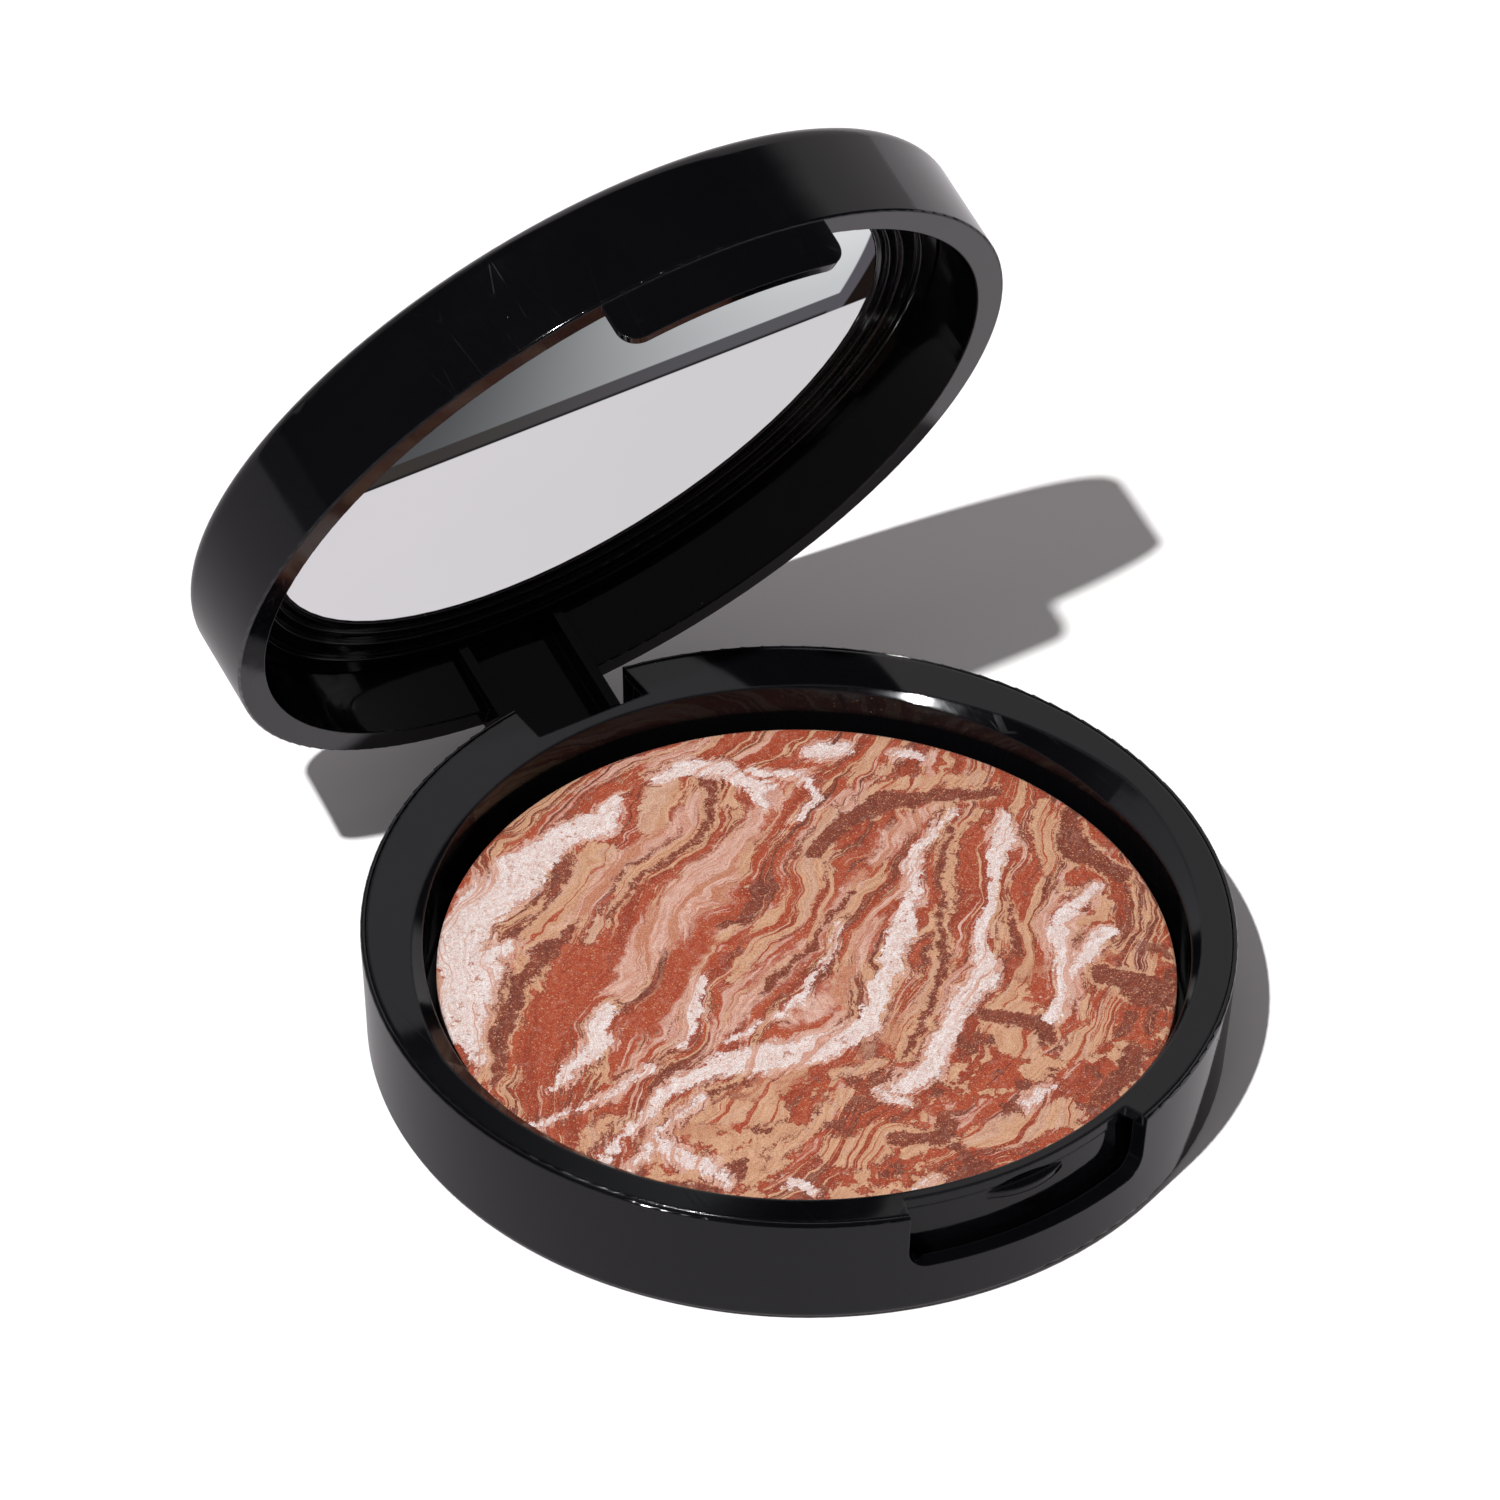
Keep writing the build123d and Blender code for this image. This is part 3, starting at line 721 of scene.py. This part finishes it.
    mottle = times(pale_mask, soft_step(tree, speckle(tree, spot, 1.9, 6.0, 0.75), 0.50, 0.60, 0.0, 0.6))
    body = lay_over(tree, mottle, body, tint("cda392"))
    apart = stretched(tree, spot, (1, 1, 1), shift=(5, 2, 7))
    strewn = soft_step(tree, speckle(tree, apart, 3.4, 5.0, 0.75), 0.57, 0.63)
    body = lay_over(tree, times(strewn, 0.55), body, two_tone(tint("cfa288"), tint("b06c4e")))
    chip = times(pale_mask, soft_step(tree, ragged, 0.60, 0.62))
    body = lay_over(tree, times(chip, 0.85), body, tint("a35f43"))

    # Painted shade: the colour darkens in the grain's pits and in its low hollows.
    body = lay_over(tree, times(grain["Pit"], 0.8), body, tint("4e281e"))
    hollow = soft_step(tree, grain["Tone"], 0.28, 0.66, 0.55, 0.0)
    body = lay_over(tree, hollow, body, tint("4c241a"), "MULTIPLY")
    body = lay_over(tree, soft_step(tree, ragged, 0.5, 0.75, 0.0, 0.12), body, tint("ead0c4"))

    def flecks(scale, share):
        """Mica flecks of one size, each a small flat disc."""
        cells = place(tree, "TexVoronoi", {"Vector": spot, "Scale": scale})
        chosen = one_channel(tree, cells.outputs["Color"], 0)
        disc = sums(tree, "LESS_THAN", cells.outputs["Distance"], 0.36)
        return times(disc, sums(tree, "GREATER_THAN", chosen, 1.0 - share))

    fleck = sums(tree, "MAXIMUM", times(flecks(8.0, 0.30), 0.6), flecks(4.4, 0.10))
    fleck = times(fleck, soft_step(tree, pale_mask, 0.9, 0.1, 0.2, 1.0))
    body = lay_over(tree, times(fleck, 0.7), body, tint("f3b58c"))
    # Painted reflection: where reflections see the powder, its colour is darkened towards 33241f.
    seen_in_reflection = place(tree, "LightPath").outputs["Is Glossy Ray"]
    body = lay_over(tree, times(seen_in_reflection, 0.55), body, tint("33241f"))
    tree.links.new(body, shader["Base Color"])
    tree.links.new(times(fleck, 0.5), shader["Metallic"])
    matt = soft_step(tree, grain["Tone"], 0.3, 0.7, 0.62, 0.85)
    tree.links.new(sums(tree, "MULTIPLY_ADD", fleck, -0.35, matt), shader["Roughness"])
    height = sums(tree, "MULTIPLY_ADD", umber_mask, -0.5, grain["Height"])
    height = sums(tree, "MULTIPLY_ADD", pale_mask, 0.4, height)
    height = sums(tree, "MULTIPLY_ADD", ragged, 1.2, height)
    emboss(tree, shader, height, 0.45, 0.00006)
    return material


# ---------------------------------------------------------------- putting the compact together
def dress(node, material):
    """Gives a carried-over part its finish in every slot."""
    data = nodes[node].data
    data.materials.clear()
    data.materials.append(material)
    for face in data.polygons:
        face.material_index = 0


glue = hot_glue()
finishes = {
    "base_shell": gloss_black("shell_black", 0.05, 0.11),
    "base_tray": gloss_black("tray_black", 0.06, 0.12, 0.0004),
    "lid_shell": gloss_black("lid_black", 0.05, 0.11),
    "mirror_ring": gloss_black("ring_black", 0.08, 0.16),
    "mirror_glass": silvered_glass(),
    "powder_tile": fired_clay(),
    "tile_glue": glue,
    "mirror_glue": glue,
    "hinge_pin": drawn_steel(),
    "base_label": label_film(),
}
for node, finish in finishes.items():
    dress(node, finish)

cake = press_powder_cake()
cake.data.materials.append(marbled_powder())
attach(cake, "base")
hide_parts("powder_cake")


# ---------------------------------------------------------------- studio
FLOOR_REACH = 6.0
KEY_TRAVEL = Vector((0.535, 0.267, -1.0))
KEY_FROM = (-0.459, -0.229, 0.858)  # back along the key's travel, at unit length
KEY_STRENGTH = 4.2
ROOM_STRENGTH = 0.25  # what the room gives to matt faces
DARK_ROOM = 0.02  # what polished faces see of the room itself
SCREEN_STRENGTH = 0.46
BACK_STRENGTH = 0.22
KEY_GLOW = 1.7
# A glowing sheet just over the mirror paints the mirror's reflection.
REFLECTION_SHEET_RADIUS = 0.0298
REFLECTION_SHEET_GAP = 0.00055  # from the middle of the mirror to the glowing sheet of painted reflection
REFLECTION_SHEET_FACING = Vector((0, 0.931359, 0.364079)).normalized()
REFLECTION_SHEET_HINGEWARD = Vector((0, 0.364079, -0.931359)).normalized()


def sheet_of(name, corners, material):
    """A flat studio sheet through its corners, in metres."""
    mesh = bpy.data.meshes.new(name)
    mesh.from_pydata(corners, [], [tuple(range(len(corners)))])
    mesh.materials.append(material)
    sheet = bpy.data.objects.new(name, mesh)
    bpy.context.scene.collection.objects.link(sheet)
    return sheet


def lay_floor():
    """A wide matt white sweep; polished faces see it with painted shade, greyer than the lens does and
    darker to the left.
    """
    material, tree, shader = finish_coat("floor_paint", Roughness=0.9)
    across = place(tree, "SeparateXYZ", {0: millimetres(tree)}).outputs[0]
    # Painted shade seen only in reflections: the floor turns grey, and near black far to the left.
    greyer = lay_over(tree, soft_step(tree, across, -120.0, 110.0), tint("817d80"), tint("c3bfc2"))
    greyer = lay_over(tree, soft_step(tree, across, -340.0, -300.0), tint("201f22"), greyer)
    seen_in_reflection = place(tree, "LightPath").outputs["Is Glossy Ray"]
    tree.links.new(lay_over(tree, seen_in_reflection, tint("f3f1f1"), greyer), shader["Base Color"])
    sides = ((-1, -1), (1, -1), (1, 1), (-1, 1))
    sheet_of("white_floor", [(a * FLOOR_REACH, b * FLOOR_REACH, 0) for a, b in sides], material)


def light_studio():
    """One firm key from the front left and an even pale room. Polished faces see the room dark, with a grey
    screen behind on the right, a faint one straight behind and a bluish glow round the key."""
    sun = bpy.data.lights.new("key_light", "SUN")
    sun.energy = KEY_STRENGTH
    sun.angle = math.radians(1.2)
    key = bpy.data.objects.new("key_light", sun)
    bpy.context.scene.collection.objects.link(key)
    key.rotation_euler = KEY_TRAVEL.to_track_quat("-Z", "Y").to_euler()
    room = bpy.data.worlds.new("pale_room")
    room.use_nodes = True
    tree = room.node_tree
    backdrop = tree.nodes["Background"]
    path = place(tree, "LightPath").outputs
    aim = place(tree, "TexCoord").outputs["Generated"]
    towards = place(tree, "SeparateXYZ", {0: aim}).outputs
    screen_top = soft_step(tree, towards[2], 0.70, 0.78, 1.0, 0.0)
    screen = sums(tree, "MULTIPLY", soft_step(tree, towards[0], -0.02, 0.10), screen_top)
    screen = sums(tree, "MULTIPLY", screen, soft_step(tree, towards[1], 0.17, 0.24))
    polish = sums(tree, "MULTIPLY_ADD", screen, SCREEN_STRENGTH, DARK_ROOM)
    straight_behind = soft_step(tree, towards[1], 0.74, 0.90)
    polish = sums(tree, "MULTIPLY_ADD", straight_behind, BACK_STRENGTH, polish)
    toward_key = place(tree, "VectorMath", {0: aim, 1: KEY_FROM}, operation="DOT_PRODUCT").outputs["Value"]
    halo = soft_step(tree, toward_key, 0.986, 0.9998)
    polish = sums(tree, "MULTIPLY_ADD", sums(tree, "MULTIPLY", halo, halo), KEY_GLOW, polish)
    level = blend(tree, path["Is Glossy Ray"], ROOM_STRENGTH, polish)
    level = blend(tree, path["Is Camera Ray"], level, 1.0)
    tree.links.new(level, backdrop.inputs["Strength"])
    hue = lay_over(tree, halo, (1.0, 0.95, 0.965, 1), (0.80, 0.90, 1.0, 1))
    hue = lay_over(tree, path["Is Camera Ray"], hue, (1, 1, 1, 1))
    tree.links.new(hue, backdrop.inputs["Color"])
    bpy.context.scene.world = room
    bpy.context.scene.view_settings.view_transform = "Standard"
    bpy.context.scene.view_settings.look = "None"


def paint_mirror_reflection():
    """A glowing sheet of painted reflection, clipped just over the mirror and turning with the lid. Only
    reflections show it: a pale sheet below, a dark grey bar along the middle, a sweep from dark to pale
    above, and two curved edges."""
    material = bpy.data.materials.new("painted_mirror_reflection")
    material.use_nodes = True
    tree = material.node_tree
    tree.nodes.remove(tree.nodes["Principled BSDF"])
    spot = place(tree, "SeparateXYZ", {0: millimetres(tree)}).outputs
    sweep = lay_over(tree, soft_step(tree, spot[0], -20.0, 27.0), tint("48484a"), tint("dddddf"))
    sweep = lay_over(tree, soft_step(tree, spot[1], -17.0, -3.0, 0.0, 0.25), sweep, tint("5d6064"))
    bar = lay_over(tree, soft_step(tree, spot[0], -20.0, 20.0), tint("3b3634"), tint("57555a"))
    bar = lay_over(tree, soft_step(tree, spot[1], -0.9, -0.3), bar, tint("1a191b"))
    low = lay_over(tree, soft_step(tree, spot[0], -25.0, 25.0), tint("d8d2d6"), tint("d4cfd2"))
    look = lay_over(tree, soft_step(tree, spot[1], -3.3, -3.0), sweep, bar)
    squared = sums(tree, "MULTIPLY", spot[1], spot[1])
    bend = sums(tree, "MULTIPLY_ADD", squared, 0.0112, sums(tree, "MULTIPLY_ADD", spot[1], 0.261, spot[0]))
    look = lay_over(tree, soft_step(tree, bend, 25.4, 25.7), look, tint("57545a"))
    look = lay_over(tree, soft_step(tree, bend, 27.1, 27.4), look, tint("1d1614"))
    look = lay_over(tree, soft_step(tree, spot[1], -0.25, 0.0), look, low)
    # Painted reflection: the sheet glows fully where the mirror first sees it, and far less in later
    # reflections, least at a slant.
    path = place(tree, "LightPath").outputs
    slant = place(tree, "LayerWeight", {"Blend": 0.5}).outputs["Facing"]
    later = soft_step(tree, slant, 0.30, 0.50, 0.80, 0.14)
    repeat = soft_step(tree, path["Glossy Depth"], 1.2, 1.8)
    strength = blend(tree, repeat, 1.12, later)
    glow = place(tree, "Emission", {"Color": look, "Strength": strength})
    clear = place(tree, "BsdfTransparent")
    behind = place(tree, "NewGeometry").outputs["Backfacing"]
    shown = sums(tree, "MULTIPLY", path["Is Glossy Ray"], sums(tree, "SUBTRACT", 1.0, behind))
    both = place(tree, "MixShader", {0: shown, 1: clear.outputs[0], 2: glow.outputs[0]})
    tree.links.new(both.outputs[0], tree.nodes["Material Output"].inputs["Surface"])
    turns = [math.radians(5 * k) for k in range(72)]
    outline = [(REFLECTION_SHEET_RADIUS * math.cos(a), REFLECTION_SHEET_RADIUS * math.sin(a), 0.0) for a in turns]
    reflection_sheet = sheet_of("painted_mirror_reflection", outline, material)
    low_corner, high_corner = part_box("mirror_glass")
    middle = (low_corner + high_corner) / 2
    side = REFLECTION_SHEET_HINGEWARD.cross(REFLECTION_SHEET_FACING)
    facing = Matrix((side, REFLECTION_SHEET_HINGEWARD, REFLECTION_SHEET_FACING)).transposed().to_4x4()
    reflection_sheet.matrix_world = Matrix.Translation(middle - REFLECTION_SHEET_FACING * REFLECTION_SHEET_GAP) @ facing
    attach(reflection_sheet, "lid")


lay_floor()
light_studio()
paint_mirror_reflection()
